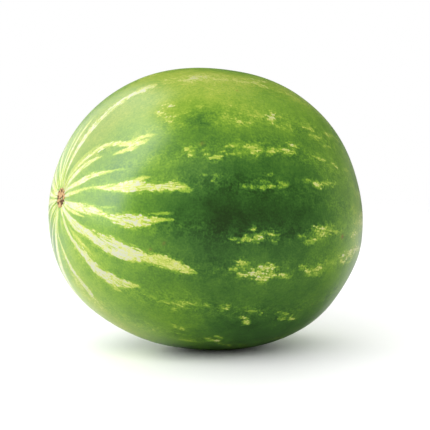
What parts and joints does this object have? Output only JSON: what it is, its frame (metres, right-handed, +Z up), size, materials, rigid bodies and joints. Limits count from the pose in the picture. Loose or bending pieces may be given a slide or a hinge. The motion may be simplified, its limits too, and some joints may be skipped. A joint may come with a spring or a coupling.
{
  "type": "watermelon",
  "caption": "Whole striped watermelon lying on its side, with a corky blossom scar at one end and a short dry stem stub at the other, resting on a small flat ground spot.",
  "frame": {"origin": "on the surface that the fruit rests on, under the middle of its bounding box", "axes": "+X along the fruit from the blossom end to the stem end, level; +Z up; -Y is the side that the picture shows most of"},
  "size_m": [0.2724, 0.2398, 0.2399],
  "materials": {
    "rind": "thin waxy rind with a satin gloss, dark green with ragged cream and yellow-green stripes from end to end"
  },
  "bodies": {
    "root": {"watermelon": "rind"}
  },
  "joints": []
}
